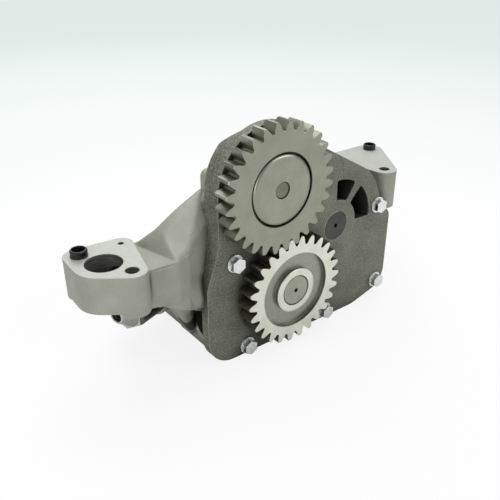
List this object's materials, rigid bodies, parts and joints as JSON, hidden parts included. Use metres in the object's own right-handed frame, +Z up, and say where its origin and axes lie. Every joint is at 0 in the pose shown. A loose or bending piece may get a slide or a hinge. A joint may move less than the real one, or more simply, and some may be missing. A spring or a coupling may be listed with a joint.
{
  "type": "engine oil pump",
  "caption": "Gear oil pump: cast housing with two feet and ports, iron front cover, meshed idler and drive gears, pump rotors and a relief valve.",
  "frame": {"origin": "on the idler gear's axis, in the plane of the gears' front faces", "axes": "+X from the left foot to the right foot as seen from the gear side, +Y along the gear axes from the gears into the pump, +Z up, out of the feet's machined tops"},
  "size_m": [0.4025, 0.1533, 0.2282],
  "materials": {
    "cast_aluminium": "fine blasted casting, satin",
    "cast_iron": "grainy casting with a ground front",
    "idler_steel": "ground and oiled, olive grey",
    "gear_steel": "hobbed and ground, light grey",
    "rotor_steel": "ground, oily",
    "dark_steel": "dark ground shaft end",
    "zinc_steel": "bright zinc plating",
    "black_steel": "black oxide, slightly shiny",
    "bush_bronze": "plain bearing bronze",
    "bright_alloy": "turned, bright",
    "spring_steel": "oil-hardened wire"
  },
  "bodies": {
    "pump_body": {"pump_housing": "cast_aluminium", "front_cover": "cast_iron", "cover_bolts": "zinc_steel", "cover_dowels": "gear_steel", "lug_bolt": "zinc_steel", "idler_pin": "idler_steel", "idler_pin_plug": "dark_steel", "idler_pin_washer": "zinc_steel", "idler_pin_bolt": "zinc_steel", "idler_thrust_washer": "gear_steel", "left_foot_sleeve": "black_steel", "right_foot_sleeve": "black_steel", "drive_rear_bush": "bush_bronze", "driven_rear_bush": "bush_bronze", "relief_valve_body": "black_steel", "relief_valve_cap": "bright_alloy", "relief_valve_washer": "bush_bronze", "relief_spring": "spring_steel"},
    "idler": {"idler_gear": "idler_steel", "idler_bush": "bush_bronze"},
    "drive_train": {"drive_gear": "gear_steel", "drive_shaft": "gear_steel", "drive_gear_key": "gear_steel", "drive_spacer": "gear_steel", "driving_rotor": "rotor_steel", "driving_rotor_key": "gear_steel"},
    "driven_train": {"driven_shaft": "dark_steel", "driven_rotor": "rotor_steel", "driven_rotor_key": "gear_steel"},
    "relief_piston": {"relief_piston": "gear_steel"}
  },
  "joints": [
    {"name": "drive_spin", "type": "hinge", "parent": "pump_body", "child": "drive_train", "pos_m": [0.01961, 0, -0.1062], "axis": [0, 1, 0], "continuous": true},
    {"name": "idler_spin", "type": "hinge", "parent": "pump_body", "child": "idler", "pos_m": [0, 0, 0], "axis": [0, 1, 0], "continuous": true},
    {"name": "driven_spin", "type": "hinge", "parent": "pump_body", "child": "driven_train", "pos_m": [0.08554, 0, -0.06453], "axis": [0, 1, 0], "continuous": true},
    {"name": "relief_slide", "type": "slide", "parent": "pump_body", "child": "relief_piston", "axis": [-0.9397, -0.342, 0], "range_m": [0, 0.007], "stiffness_N_per_m": 3000, "springref_m": -0.006, "deforming": ["relief_spring"]}
  ],
  "couplings": [
    {"joint": "idler_spin", "follows": "drive_spin", "ratio": -0.92857},
    {"joint": "driven_spin", "follows": "drive_spin", "ratio": -1}
  ]
}
